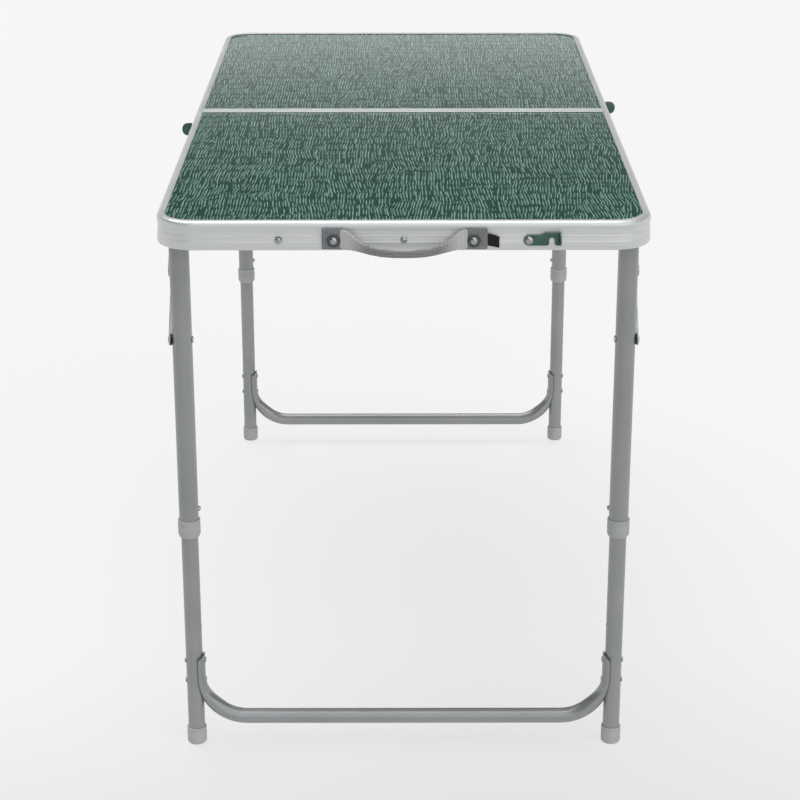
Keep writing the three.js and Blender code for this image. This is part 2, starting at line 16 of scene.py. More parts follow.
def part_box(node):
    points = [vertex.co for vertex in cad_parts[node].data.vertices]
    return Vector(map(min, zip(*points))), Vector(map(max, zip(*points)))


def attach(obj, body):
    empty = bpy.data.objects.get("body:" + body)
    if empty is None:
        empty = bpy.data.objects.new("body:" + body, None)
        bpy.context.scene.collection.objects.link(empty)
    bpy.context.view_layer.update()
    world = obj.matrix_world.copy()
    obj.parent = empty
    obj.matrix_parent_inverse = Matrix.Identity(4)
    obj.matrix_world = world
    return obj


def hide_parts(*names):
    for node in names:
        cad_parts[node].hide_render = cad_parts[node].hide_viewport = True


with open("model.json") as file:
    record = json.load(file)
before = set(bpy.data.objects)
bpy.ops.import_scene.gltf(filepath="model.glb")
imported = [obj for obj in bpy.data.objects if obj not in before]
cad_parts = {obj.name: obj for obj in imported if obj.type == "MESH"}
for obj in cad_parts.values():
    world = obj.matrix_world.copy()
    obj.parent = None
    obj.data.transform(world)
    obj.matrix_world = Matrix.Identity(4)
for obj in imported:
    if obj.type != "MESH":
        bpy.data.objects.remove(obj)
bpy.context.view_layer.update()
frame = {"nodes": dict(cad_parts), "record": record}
record = frame["record"]
BODY_OF = {n: body for body, nodes in record["behaviour"]["bodies"].items() for n in nodes}

# %% [markdown]
# ## Working measures
# Both halves are the same parts turned half round, so each piece is drawn once, for the near half, in
# millimetres. Its y runs from the joint line (0) to the handle end (-600). The sizes are read from the
# CAD boxes, so the pieces follow the CAD when it changes.

# %% Measures
MM = 0.001


def box_mm(node):
    low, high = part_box(node)
    return low / MM, high / MM


near_panel = box_mm("near_panel")
far_panel = box_mm("far_panel")
MID_Y = (near_panel[1].y + far_panel[0].y) / 2
rail_low, rail_high = box_mm("near_frame")
RAIL_BOTTOM = rail_low.z
HALF_WIDTH = -rail_low.x
END_Y = rail_low.y - MID_Y
JOINT_Y = rail_high.y - MID_Y
upper_low, upper_high = box_mm("near_right_upper_leg")
LEG_X = (upper_low.x + upper_high.x) / 2
LEG_Y = (upper_low.y + upper_high.y) / 2 - MID_Y
UPPER_RADIUS = (upper_high.x - upper_low.x) / 2
lower_low, lower_high = box_mm("near_right_lower_leg")
LOWER_RADIUS = (lower_high.x - lower_low.x) / 2
HALVES = ("near", "far")
SIDES = {"left": -1, "right": 1}
PLACE = {
    "near": Matrix.Translation((0, MID_Y * MM, 0)) @ Matrix.Scale(MM, 4),
    "far": Matrix.Translation((0, MID_Y * MM, 0)) @ Matrix.Rotation(math.pi, 4, "Z") @ Matrix.Scale(MM, 4),
}
print(f"end y {END_Y:.1f}, legs at x {LEG_X:.1f}, y {LEG_Y:.1f}")
print(f"leg tube radii {UPPER_RADIUS:.1f} and {LOWER_RADIUS:.1f}")

# %% [markdown]
# ## The camera
# A long lens from about three metres, a little above the table and looking down twenty degrees, gives
# the gentle convergence of a catalogue picture. The tiny turns are those of a tripod head.

# %% Camera
camera_data = bpy.data.cameras.new("studio_camera")
camera_data.lens = 96.64
camera_data.sensor_width = 36.0
camera = bpy.data.objects.new("studio_camera", camera_data)
bpy.context.scene.collection.objects.link(camera)
camera.location = (-0.005, -3.0666, 1.425)
TILT_DOWN, HEAD_TURN, HEAD_ROLL = 0.3567, -0.0001, -0.001
turn = Matrix.Rotation(HEAD_TURN, 3, "Z") @ Matrix.Rotation(math.pi / 2 - TILT_DOWN, 3, "X")
camera.rotation_euler = (turn @ Matrix.Rotation(HEAD_ROLL, 3, "Z")).to_euler()
bpy.context.scene.camera = camera
print("camera at", tuple(round(v, 3) for v in camera.location))

# %% [markdown]
# ## Nodes and colours
# Every finish is a small node tree around the Principled shader. One helper adds a node, sets its
# options and links or fills its inputs; another turns a designer's hex colour into the linear values
# that the shader wants.

# %% Node helper
def linear(hex_colour):
    channels = [int(hex_colour[i : i + 2], 16) / 255 for i in (1, 3, 5)]
    return (*(c / 12.92 if c <= 0.04045 else ((c + 0.055) / 1.055) ** 2.4 for c in channels), 1.0)


def add(tree, kind, inputs=None, **settings):
    node = tree.nodes.new(kind)
    for name, value in settings.items():
        setattr(node, name, value)
    for key, value in (inputs or {}).items():
        if isinstance(value, bpy.types.NodeSocket):
            tree.links.new(value, node.inputs[key])
        else:
            node.inputs[key].default_value = value
    return node


def new_finish(name, **sockets):
    """A material with a Principled shader whose sockets are set, and its node tree."""
    material = bpy.data.materials.new(name)
    material.use_nodes = True
    shader = material.node_tree.nodes["Principled BSDF"]
    for socket, value in sockets.items():
        shader.inputs[socket.replace("_", " ")].default_value = value
    return material, material.node_tree, shader


def in_mm(tree, stretch=(1, 1, 1)):
    """The piece's own coordinates in millimetres, each axis divided by its stretch."""
    coords = add(tree, "ShaderNodeTexCoord").outputs["Object"]
    scale = tuple(1 / (MM * s) for s in stretch)
    return add(tree, "ShaderNodeMapping", {"Vector": coords, "Scale": scale}, vector_type="POINT").outputs[0]


def two_tone(tree, factor, dark, light, low=0.35, high=0.65):
    """A colour between two hex tones, driven by a noise or mask."""
    spread = add(tree, "ShaderNodeMapRange", {"Value": factor, "From Min": low, "From Max": high})
    inputs = {"Factor": spread.outputs[0], 6: linear(dark), 7: linear(light)}
    return add(tree, "ShaderNodeMix", inputs, data_type="RGBA").outputs[2]


def relief(tree, shader, height, depth_mm, strength=1.0):
    inputs = {"Height": height, "Distance": depth_mm * MM, "Strength": strength}
    tree.links.new(add(tree, "ShaderNodeBump", inputs).outputs[0], shader.inputs["Normal"])


print("helpers ready")

# %% [markdown]
# ## Anodised aluminium
# The rails are extruded through a die and then satin anodised. The die leaves hair-fine lines along
# the whole length, and the anodising breaks up sharp reflections into a soft grey sheen. Noise drawn
# out along the rail and packed tightly up it gives the lines; a second, slow noise varies the gloss.

# %% Anodised aluminium
satin_aluminium, tree, shader = new_finish("satin_anodised_aluminium", Metallic=0.55)
along_rail = in_mm(tree, (90, 90, 0.5))
die_lines = add(tree, "ShaderNodeTexNoise", {"Vector": along_rail, "Scale": 1.0, "Detail": 3.0})
tree.links.new(two_tone(tree, die_lines.outputs[0], "#c8cacb", "#d2d4d5"), shader.inputs["Base Color"])
cloud = add(tree, "ShaderNodeTexNoise", {"Vector": in_mm(tree, (40, 40, 14)), "Scale": 1.0, "Detail": 2.0})
gloss = add(tree, "ShaderNodeMapRange", {"Value": cloud.outputs[0], "To Min": 0.34, "To Max": 0.44})
tree.links.new(gloss.outputs[0], shader.inputs["Roughness"])
relief(tree, shader, die_lines.outputs[0], 0.02, 0.6)
print(satin_aluminium.name)

# %% [markdown]
# ## Printed laminate
# The panels are a thin board faced with a glossy printed foil: short pale brush strokes on deep green,
# laid side by side like combed grass, in wavy rows that lean this way and that. A grid of seeds
# stretched to the stroke's length puts one stroke in each cell. Slow noise bends the grid, so that
# neighbours lean together. The underside is plain pale board, so the print stops below the top face.

# %% Printed laminate
STROKE_PITCH, STROKE_ROW = 3.9, 30.0
STROKE_HALF_WIDTH, STROKE_HALF_LENGTH = 0.96, 17.5
CLUMP_SIZE, CLUMP_LEAN = 52.0, 0.24
printed_laminate, tree, shader = new_finish("glossy_printed_laminate", Roughness=0.12, IOR=1.48)
board = in_mm(tree)


def vector_step(operation, *values, tree=tree):
    """One vector operation on sockets or constants."""
    inputs = dict(enumerate(values))
    return add(tree, "ShaderNodeVectorMath", inputs, operation=operation).outputs[0]


def sway(start, size, amount):
    """Shifts coordinates by a noise of the given size, up to the given amount, both in mm."""
    noise = add(tree, "ShaderNodeTexNoise", {"Vector": board, "Scale": 1 / size, "Detail": 1.0})
    centred = vector_step("SUBTRACT", noise.outputs[1], (0.5,) * 3)
    return vector_step("MULTIPLY_ADD", centred, amount, start)


swayed = sway(board, 60, (5, 16, 0))
clumps = add(tree, "ShaderNodeTexVoronoi", {"Vector": sway(board, 30, (26, 26, 0)), "Scale": 1 / CLUMP_SIZE},
             voronoi_dimensions="2D")
clump_luck = add(tree, "ShaderNodeSeparateColor", {0: clumps.outputs["Color"]})
to_clump = vector_step("SUBTRACT", swayed, clumps.outputs["Position"])
from_middle = add(tree, "ShaderNodeSeparateXYZ", {0: to_clump})
lean = add(tree, "ShaderNodeMapRange",
           {"Value": clump_luck.outputs[0], "To Min": -0.6 * CLUMP_LEAN, "To Max": 0.4 * CLUMP_LEAN})
slide = add(tree, "ShaderNodeMath", {0: lean.outputs[0], 1: from_middle.outputs[1]}, operation="MULTIPLY")
lift = add(tree, "ShaderNodeMath", {0: clump_luck.outputs[1], 1: STROKE_ROW}, operation="MULTIPLY")
shift = add(tree, "ShaderNodeCombineXYZ", {0: slide.outputs[0], 1: lift.outputs[0]}).outputs[0]
combed = sway(vector_step("ADD", swayed, shift), 15, (1.2, 8, 0))
cells = vector_step("MULTIPLY", combed, (1 / STROKE_PITCH, 1 / STROKE_ROW, 0))
seeds = add(tree, "ShaderNodeTexVoronoi", {"Vector": cells, "Scale": 1.0, "Randomness": 0.45},
            voronoi_dimensions="2D")
luck = add(tree, "ShaderNodeSeparateColor", {0: seeds.outputs["Color"]})
offset = vector_step("SUBTRACT", cells, seeds.outputs["Position"])
reach = vector_step("MULTIPLY", offset,
                    (STROKE_PITCH / STROKE_HALF_WIDTH, STROKE_ROW / STROKE_HALF_LENGTH, 0))
trim = add(tree, "ShaderNodeMapRange", {"Value": luck.outputs[0], "To Min": 0.9, "To Max": 1.5})
sized = add(tree, "ShaderNodeVectorMath", {0: reach, "Scale": trim.outputs[0]}, operation="SCALE")
edge = add(tree, "ShaderNodeVectorMath", {0: sized.outputs[0]}, operation="LENGTH")
stroke = add(tree, "ShaderNodeMapRange",
             {"Value": edge.outputs["Value"], "From Min": 1.15, "From Max": 0.8})
printed = add(tree, "ShaderNodeMath", {0: luck.outputs[1], 1: 0.06}, operation="GREATER_THAN")
inked = add(tree, "ShaderNodeMath", {0: stroke.outputs[0], 1: printed.outputs[0]}, operation="MULTIPLY")
patches = add(tree, "ShaderNodeTexNoise", {"Vector": in_mm(tree, (60, 60, 60)), "Scale": 1.0})
ground = two_tone(tree, patches.outputs[0], "#1d4338", "#234a3f")
paint = two_tone(tree, luck.outputs[2], "#68897e", "#87a69b", 0.0, 1.0)
top_ink = add(tree, "ShaderNodeMix", {"Factor": inked.outputs[0], 6: ground, 7: paint}, data_type="RGBA")
height = add(tree, "ShaderNodeSeparateXYZ", {0: board})
PRINT_DEPTH = 0.4
print_level = near_panel[1].z - PRINT_DEPTH
on_top = add(tree, "ShaderNodeMath", {0: height.outputs[2], 1: print_level}, operation="GREATER_THAN")
backing = two_tone(tree, patches.outputs[0], "#aeada7", "#b3b2ac")
inputs = {"Factor": on_top.outputs[0], 6: backing, 7: top_ink.outputs[2]}
tree.links.new(add(tree, "ShaderNodeMix", inputs, data_type="RGBA").outputs[2], shader.inputs["Base Color"])
ripple = add(tree, "ShaderNodeTexNoise", {"Vector": in_mm(tree, (7, 7, 7)), "Scale": 1.0, "Detail": 1.0})
relief(tree, shader, ripple.outputs[0], 0.02, 0.25)
for half in HALVES:
    for material_slot in frame["nodes"][f"{half}_panel"].material_slots:
        material_slot.material = printed_laminate
print(printed_laminate.name, "on both panels")

# %% [markdown]
# ## Enamels, zinc and plastics
# The legs are steel tube in satin grey stove enamel, with the faint orange peel of a sprayed coat.
# The latches have the same coat in green. Rivets, stays and hinges are bright zinc plate, clouded
# where the crystals grew. Collars and feet are moulded grey nylon with a fine spark-eroded grain, and
# the washers are the same nylon in black.

# %% Sprayed, plated and moulded finishes
def grained_finish(name, dark, light, tone_mm, grain_mm, grain_depth, **sockets):
    """A coat or moulding: slow tone changes with a fine grain in the surface."""
    material, tree, shader = new_finish(name, **sockets)
    tone = add(tree, "ShaderNodeTexNoise", {"Vector": in_mm(tree, (tone_mm,) * 3), "Scale": 1.0})
    tree.links.new(two_tone(tree, tone.outputs[0], dark, light), shader.inputs["Base Color"])
    fine = in_mm(tree, (grain_mm,) * 3)
    grain = add(tree, "ShaderNodeTexNoise", {"Vector": fine, "Scale": 1.0, "Detail": 1.0})
    relief(tree, shader, grain.outputs[0], grain_depth, 0.5)
    return material


grey_enamel = grained_finish("satin_grey_enamel", "#8e9192", "#949698", 60, 1.4, 0.02,
                             Roughness=0.27, IOR=1.5, Metallic=0.4)
green_enamel = grained_finish("green_enamel", "#1f4a3e", "#255345", 8, 1.2, 0.02,
                              Roughness=0.33, IOR=1.5, Coat_Weight=0.3)
zinc_plate = grained_finish("bright_zinc_plate", "#9a9c9e", "#b4b6b8", 2.5, 0.6, 0.01,
                            Roughness=0.24, Metallic=1.0)
grey_nylon = grained_finish("moulded_grey_nylon", "#9fa1a2", "#a6a8a9", 30, 0.5, 0.03,
                            Roughness=0.48, IOR=1.53)
black_nylon = grained_finish("moulded_black_nylon", "#101112", "#1a1b1c", 10, 0.5, 0.03,
                             Roughness=0.4, IOR=1.53)
print("coats and mouldings:", len(bpy.data.materials))

# %% [markdown]
# ## Webbing and the woven label
# Handle webbing is a tight plain weave of thick polyester yarn. Two waves crossing at the yarn pitch
# raise a bead where each yarn passes over, and the yarns' own shine is broken by fine fuzz. The grip
# is darker in its middle and lighter towards its ends. The label is a finer weave in black with no
# lettering.

# %% Woven finishes
def woven_finish(name, dark, light, yarn_mm, bead_depth, middle_darkening=0.0, **sockets):
    material, tree, shader = new_finish(name, **sockets)
    across = {"Vector": in_mm(tree, (yarn_mm,) * 3), "Scale": 1 / 6.2832 * 2, "Distortion": 0.4}
    warp = add(tree, "ShaderNodeTexWave", across, bands_direction="X")
    weft = add(tree, "ShaderNodeTexWave", across, bands_direction="Z")
    bead = add(tree, "ShaderNodeMath", {0: warp.outputs[1], 1: weft.outputs[1]}, operation="MULTIPLY")
    fuzz = add(tree, "ShaderNodeTexNoise", {"Vector": in_mm(tree, (0.6,) * 3), "Scale": 1.0, "Detail": 2.0})
    mixed = add(tree, "ShaderNodeMath", {0: bead.outputs[0], 1: fuzz.outputs[0]}, operation="ADD")
    along = add(tree, "ShaderNodeSeparateXYZ", {0: in_mm(tree)}).outputs[0]
    from_centre = add(tree, "ShaderNodeMath", {0: along}, operation="ABSOLUTE")
    # The colour is darker in the middle of the grip and lighter towards its ends.
    darker_middle = add(tree, "ShaderNodeMapRange", {
        "Value": from_centre.outputs[0], "From Min": 42, "From Max": 66, "To Min": -middle_darkening, "To Max": middle_darkening,
    })
    tone = add(tree, "ShaderNodeMath", {0: mixed.outputs[0], 1: darker_middle.outputs[0]}, operation="ADD")
    tree.links.new(two_tone(tree, tone.outputs[0], dark, light, 0.3, 1.3), shader.inputs["Base Color"])
    relief(tree, shader, mixed.outputs[0], bead_depth)
    return material


grip_webbing = woven_finish("grey_polyester_webbing", "#6c6d6e", "#c6c7c7", 1.7, 0.35, middle_darkening=0.4,
                            Roughness=0.8, Sheen_Weight=0.25)
patch_webbing = woven_finish("dark_polyester_webbing", "#55575a", "#8f9193", 1.7, 0.35,
                             Roughness=0.85, Sheen_Weight=0.2)
black_label = woven_finish("black_woven_label", "#060606", "#131414", 0.8, 0.1, Roughness=0.9)
blackened_zinc = grained_finish("blackened_zinc", "#4c4f51", "#5d6062", 2.5, 0.6, 0.01,
                                Roughness=0.4, Metallic=0.9)
thread = grained_finish("pale_stitching_thread", "#8d8f90", "#a2a4a5", 1.2, 0.3, 0.05, Roughness=0.75)
print("woven finishes ready")

# %% [markdown]
# ## From bmesh to finished piece
# Each piece is drawn in a bmesh and then finished the same way: doubles are merged, the normals are
# made to point outwards, the drawing is placed in its half of the table, and shading is smooth apart
# from sharp corners. The piece rides on the body of the CAD node that it stands for.

# %% Finishing
def finish_piece(name, bm, material, node, half="near", replace=True, sharp_degrees=38):
    bmesh.ops.remove_doubles(bm, verts=bm.verts, dist=0.003)
    bmesh.ops.recalc_face_normals(bm, faces=bm.faces)
    bmesh.ops.transform(bm, matrix=PLACE[half], verts=bm.verts)
    mesh = bpy.data.meshes.new(name)
    open_edges = sum(1 for edge in bm.edges if not edge.is_manifold)
    bm.to_mesh(mesh)
    bm.free()
    mesh.shade_smooth()
    mesh.set_sharp_from_angle(angle=math.radians(sharp_degrees))
    mesh.materials.append(material)
    piece = bpy.data.objects.new(name, mesh)
    bpy.context.scene.collection.objects.link(piece)
    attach(piece, BODY_OF[node])
    if replace:
        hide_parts(node)
    print(name, len(mesh.polygons), "faces", f"({open_edges} open edges)" if open_edges else "")
    return piece


def join(bm, part, matrix=Matrix()):
    """Adds a part's bmesh to another, moved by the matrix."""
    bmesh.ops.transform(part, matrix=matrix, verts=part.verts)
    mesh = bpy.data.meshes.new("part")
    part.to_mesh(mesh)
    part.free()
    bm.from_mesh(mesh)
    bpy.data.meshes.remove(mesh)


# %% [markdown]
# ## Turned parts
# Tubes, collars, feet, buttons, washers and rivet heads are all round, so half of their outline is
# spun about an axis. A ring outline closes on itself, as a tube's wall does. Rounded edges come from
# the outline, which costs less than bevelling every rim afterwards.

# %% Turning
AXES = {
    "+X": Matrix.Rotation(math.pi / 2, 4, "Y"),
    "-X": Matrix.Rotation(-math.pi / 2, 4, "Y"),
    "+Y": Matrix.Rotation(-math.pi / 2, 4, "X"),
    "-Y": Matrix.Rotation(math.pi / 2, 4, "X"),
    "+Z": Matrix(),
}


def turned(profile, ring=False, steps=40):
    """Spins (radius, height) points about Z. A ring joins its last point to its first."""
    bm = bmesh.new()
    points = [bm.verts.new((radius, 0, level)) for radius, level in profile]
    ends = points[1:] + points[:1] if ring else points[1:]
    edges = [bm.edges.new(pair) for pair in zip(points, ends)]
    bmesh.ops.spin(bm, geom=points + edges, axis=(0, 0, 1), cent=(0, 0, 0), angle=math.tau, steps=steps,
                   use_merge=True)
    bmesh.ops.remove_doubles(bm, verts=bm.verts, dist=0.003)
    return bm


def set_at(x, y, z, toward="+Z"):
    return Matrix.Translation((x, y, z)) @ AXES[toward]


def dome(radius, thickness, sink=0.3):
    """A rivet or screw head: flat back, softly domed front, along +Z."""
    arc = [(radius * math.cos(a), thickness * (0.25 + 0.75 * math.sin(a))) for a in
           [math.radians(d) for d in (0, 12, 25, 38, 52, 68)]]
    return turned([(0, -sink), (radius * 0.97, -sink), *arc, (0, thickness)], steps=28)


def disc(radius, hole, low, high, soft=0.25):
    """A flat washer between two levels, its outer rim softened."""
    rim = [(radius - soft, low), (radius, low + soft), (radius, high - soft), (radius - soft, high)]
    return turned([(hole, low), *rim, (hole, high)], ring=True, steps=32)


def drilled(bm, place, radius=3.9, depth=6.0):
    """Cuts a round hole along the place's own Z. Rings cut beside it keep the tube's shading smooth."""
    for beside in (-6, 6):
        everything = bm.verts[:] + bm.edges[:] + bm.faces[:]
        level = place.translation + Vector((0, 0, beside))
        bmesh.ops.bisect_plane(bm, geom=everything, plane_co=level, plane_no=(0, 0, 1))
    drill = bmesh.new()
    bmesh.ops.create_cone(drill, cap_ends=True, segments=24, radius1=radius, radius2=radius, depth=depth,
                          matrix=place)
    pair = []
    for part in (bm, drill):
        mesh = bpy.data.meshes.new("drilling")
        part.to_mesh(mesh)
        part.free()
        pair.append(bpy.data.objects.new("drilling", mesh))
        bpy.context.scene.collection.objects.link(pair[-1])
    cut = pair[0].modifiers.new("hole", "BOOLEAN")
    cut.object = pair[1]
    result = bmesh.new()
    result.from_object(pair[0], bpy.context.evaluated_depsgraph_get())
    for spent in pair:
        bpy.data.meshes.remove(spent.data)
    return result


print("turning ready")

# %% [markdown]
# ## Flat and extruded parts
# Bars, latches and strips are flat outlines with rounded corners. A face is made from the few corner
# points, each corner is bevelled to its own radius, and the face is pushed out to its thickness.

# %% Outlines
def outline(corners, segments=6):
    """A bmesh with one face in XY: corners are (x, y, radius)."""
    bm = bmesh.new()
    points = [bm.verts.new((x, y, 0)) for x, y, radius in corners]
    bm.faces.new(points)
    for point, (x, y, radius) in zip(points, corners):
        if radius:
            bmesh.ops.bevel(bm, geom=[point], offset=radius, offset_type="OFFSET", segments=segments,
                            profile=0.5, affect="VERTICES", material=-1)
    return bm


def thickened(bm, depth, edge_round=0.0):
    """Pushes the flat face out along +Z and softens the rims of both faces."""
    base = list(bm.faces)
    pushed = bmesh.ops.extrude_face_region(bm, geom=base)["geom"]
    bmesh.ops.translate(bm, verts=[g for g in pushed if isinstance(g, bmesh.types.BMVert)], vec=(0, 0, depth))
    if not any(all(abs(v.co.z) < 1e-6 for v in f.verts) for f in bm.faces):
        rim = [e for e in bm.edges if all(abs(v.co.z) < 1e-6 for v in e.verts)]
        bmesh.ops.contextual_create(bm, geom=rim)
    if edge_round:
        rims = [e for e in bm.edges if abs(e.verts[0].co.z - e.verts[1].co.z) < 1e-6]
        bmesh.ops.bevel(bm, geom=rims, offset=edge_round, offset_type="OFFSET", segments=2, profile=0.5,
                        affect="EDGES", material=-1, clamp_overlap=True)
    return bm


# Columns are where an outline's x, y and thickness go on the table.
def axes_matrix(x_to, y_to, z_to, origin=(0, 0, 0)):
    matrix = Matrix.Identity(4)
    for column, direction in enumerate((x_to, y_to, z_to)):
        for row in range(3):
            matrix[row][column] = direction[row]
    return Matrix.Translation(origin) @ matrix


print("outlines ready")

# %% [markdown]
# ## The rail
# One length of extruded aluminium is bent round three sides of each half. Its section has a flat lip
# over the panel, a rounded top edge, a waist between two fine ribs and a beaded foot. The section is
# drawn once as a loop of edges, extruded along the straights and spun round the corners, just as the
# bender rolls it.

# %% Rail section
CORNER_RADIUS = 48.0
RAIL_SECTION = [
    (0, 0, 2.4), (0, 11.0, 0.6), (0.3, 11.5, 0.2), (0.9, 17.6, 0.8), (0.7, 18.0, 0.15), (1.0, 18.4, 0.2),
    (1.0, 24.0, 0.3), (0.75, 24.4, 0.15), (0.9, 24.8, 0.3), (0, 28.5, 2), (0, 36, 5.5), (10, 36, 0.9),
    (10, 34.2, 0.3), (3, 34.2, 0), (3, 30.4, 0), (10, 30.4, 0.3), (10, 28.8, 0.3), (3, 28.8, 0.5),
    (3, 4.4, 0.4), (4, 3.4, 0.4), (4, 0, 1.4),
]


def rail_bm():
    bm = outline(RAIL_SECTION, segments=4)
    start = axes_matrix((1, 0, 0), (0, 0, 1), (0, 1, 0), (-HALF_WIDTH, JOINT_Y, RAIL_BOTTOM))
    bmesh.ops.transform(bm, matrix=start, verts=bm.verts)
    edges = list(bm.edges)
    run = -END_Y - CORNER_RADIUS + JOINT_Y
    bend_x, bend_y = HALF_WIDTH - CORNER_RADIUS, END_Y + CORNER_RADIUS
    edges = pulled(bm, edges, (0, -run, 0))
    edges = bent(bm, edges, (-bend_x, bend_y, 0))
    edges = pulled(bm, edges, (2 * bend_x, 0, 0))
    edges = bent(bm, edges, (bend_x, bend_y, 0))
    edges = pulled(bm, edges, (0, run, 0))
    bmesh.ops.contextual_create(bm, geom=edges)
    return bm


def pulled(bm, edges, vector):
    """Extrudes edges along a vector and gives back the new edges."""
    made = bmesh.ops.extrude_edge_only(bm, edges=edges)["geom"]
    ends = {g for g in made if isinstance(g, bmesh.types.BMVert)}
    bmesh.ops.translate(bm, verts=list(ends), vec=vector)
    return [g for g in made if isinstance(g, bmesh.types.BMEdge) and all(v in ends for v in g.verts)]


def bent(bm, edges, centre, axis=(0, 0, 1), angle=math.pi / 2, steps=16):
    """Spins edges round a centre and gives back the last ones."""
    loop = list({v for e in edges for v in e.verts}) + list(edges)
    last = bmesh.ops.spin(bm, geom=loop, cent=centre, axis=axis, angle=angle, steps=steps)["geom_last"]
    return [g for g in last if isinstance(g, bmesh.types.BMEdge)]


for half in HALVES:
    finish_piece(f"{half}_rail", rail_bm(), satin_aluminium, f"{half}_frame", half, sharp_degrees=30)

# %% [markdown]
# ## The joint strip and the support
# Where the halves meet, a straight strip with the same lip covers the panel's raw edge. A shallow hat
# channel stiffens the panel from below. Both are straight extrusions, cut square at the ends.

# %% Strip and hat channel
STRIP_SECTION = [
    (0, 28.8, 0.3), (0, 36, 1.2), (-10, 36, 0.9), (-10, 34.2, 0.3), (-1.4, 34.2, 0), (-1.4, 30.4, 0),
    (-10, 30.4, 0.3), (-10, 28.8, 0.3),
]
HAT_SECTION = [
    (-25, 30.4, 0), (-25, 29, 0.4), (-12.4, 29, 1.5), (-11, 22.4, 1.5), (11, 22.4, 1.5), (12.4, 29, 1.5),
    (25, 29, 0.4), (25, 30.4, 0), (11, 30.4, 0.8), (9.6, 23.8, 1), (-9.6, 23.8, 1), (-11, 30.4, 0.8),
]


def straight_extrusion(section, node):
    """A section of (y, height) corners run along X for the node's own length."""
    low, high = box_mm(node)
    bm = thickened(outline(section, segments=3), high.x - low.x)
    middle = JOINT_Y if section is STRIP_SECTION else END_Y / 2
    bmesh.ops.transform(bm, matrix=axes_matrix((0, 1, 0), (0, 0, 1), (1, 0, 0), (low.x, middle, RAIL_BOTTOM)),
                        verts=bm.verts)
    return bm


for half in HALVES:
    strip = straight_extrusion(STRIP_SECTION, "near_center_strip")
    finish_piece(f"{half}_joint_strip", strip, satin_aluminium, f"{half}_center_strip", half,
                 sharp_degrees=30)
    hat = straight_extrusion(HAT_SECTION, "near_support")
    finish_piece(f"{half}_hat_channel", hat, satin_aluminium, f"{half}_support", half)

# %% [markdown]
# ## The legs
# Each leg is a 25 mm tube with a 22 mm tube sliding inside it. Both are rings spun from the cut-off
# end of the tube's wall, with the burr taken off each rim. A nylon collar guides the inner tube, and
# a nylon cap closes its foot. The sprung button sits in a hole through both tubes, and a second, lower
# hole in the inner one catches it when the leg is pushed in.

# %% Tubes, collars and feet
def tube_profile(radius, wall, low, high, burr=0.25):
    inner = radius - wall
    return [
        (inner, low + burr), (inner + burr, low), (radius - burr, low), (radius, low + burr),
        (radius, high - burr), (radius - burr, high), (inner + burr, high), (inner, high - burr),
    ]


def collar_profile(low, high, radius):
    throat, grip = LOWER_RADIUS + 0.3, UPPER_RADIUS + 0.2
    return [
        (throat, low), (radius - 2.2, low), (radius - 1.6, low + 0.2), (radius - 0.3, low + 3.2),
        (radius, low + 4.2), (radius, high - 7.4), (radius - 0.25, high - 7), (radius, high - 6.6),
        (radius, high - 4.4), (radius - 0.25, high - 4), (radius, high - 3.6), (radius, high - 1.2),
        (radius - 0.35, high - 0.35), (radius - 1.0, high), (grip, high), (grip, low + 3.6),
        (throat, low + 3.6),
    ]


def foot_profile(radius, height):
    bore = LOWER_RADIUS + 0.1
    return [
        (0, 0), (radius - 4, 0), (radius - 1.7, 0.6), (radius - 0.5, 2.0), (radius, 4.2),
        (radius, height - 4.6), (radius - 0.3, height - 4.2), (radius, height - 3.8),
        (radius, height - 1.2), (radius - 0.35, height - 0.35), (radius - 1.0, height), (bore, height),
        (bore, 4), (0, 4),
    ]


def button_profile(radius, base, tip):
    crown = [(radius * math.cos(a), tip - radius * 0.9 * (1 - math.sin(a))) for a in
             [math.radians(d) for d in (0, 18, 36, 54, 72)]]
    return [(0, base), (radius, base), *crown, (0, tip)]


collar_low, collar_high = box_mm("near_right_collar")
foot_low, foot_high = box_mm("near_right_foot")
button_low, button_high = box_mm("near_right_button")
button_z = (button_low.z + button_high.z) / 2
LEG_RETRACTION = 164.0
HOLES = {"upper_tube": [button_z], "lower_tube": [button_z, button_z - LEG_RETRACTION]}
for half in HALVES:
    for side, sign in SIDES.items():
        leg = set_at(sign * LEG_X, LEG_Y, 0)
        label = f"{half}_{side}"
        parts = [
            ("upper_tube", "upper_leg", grey_enamel,
             tube_profile(UPPER_RADIUS, 1.1, upper_low.z, upper_high.z)),
            ("lower_tube", "lower_leg", grey_enamel,
             tube_profile(LOWER_RADIUS, 1.2, lower_low.z, lower_high.z)),
            ("guide_collar", "collar", grey_nylon,
             collar_profile(collar_low.z, collar_high.z, (collar_high.x - collar_low.x) / 2)),
            ("foot_cap", "foot", grey_nylon, foot_profile((foot_high.x - foot_low.x) / 2, foot_high.z)),
        ]
        inward = "-X" if sign > 0 else "+X"
        for name, node, material, profile in parts:
            bm = bmesh.new()
            join(bm, turned(profile, ring=name != "foot_cap", steps=48), leg)
            for level in HOLES.get(name, ()):
                bm = drilled(bm, set_at(sign * (LEG_X - UPPER_RADIUS + 1), LEG_Y, level, inward))
            finish_piece(f"{label}_{name}", bm, material, f"{label}_{node}", half)
        profile = button_profile(3.4, LOWER_RADIUS + 0.3, LEG_X - button_low.x)
        bm = bmesh.new()
        join(bm, turned(profile, steps=28), set_at(sign * LEG_X, LEG_Y, button_z, inward))
        finish_piece(f"{label}_spring_button", bm, zinc_plate, f"{label}_button", half)

# %% [markdown]
# ## The brace
# A single tube joins the two lower legs near the floor. Its ends sweep up and are pressed into a
# trough that hugs the leg, cut on a slant and riveted through. The round tube is extruded and spun
# like the rail, and then the press is imitated: the higher a point is, the further it moves from the
# round section towards a thin crescent about the leg's own axis.

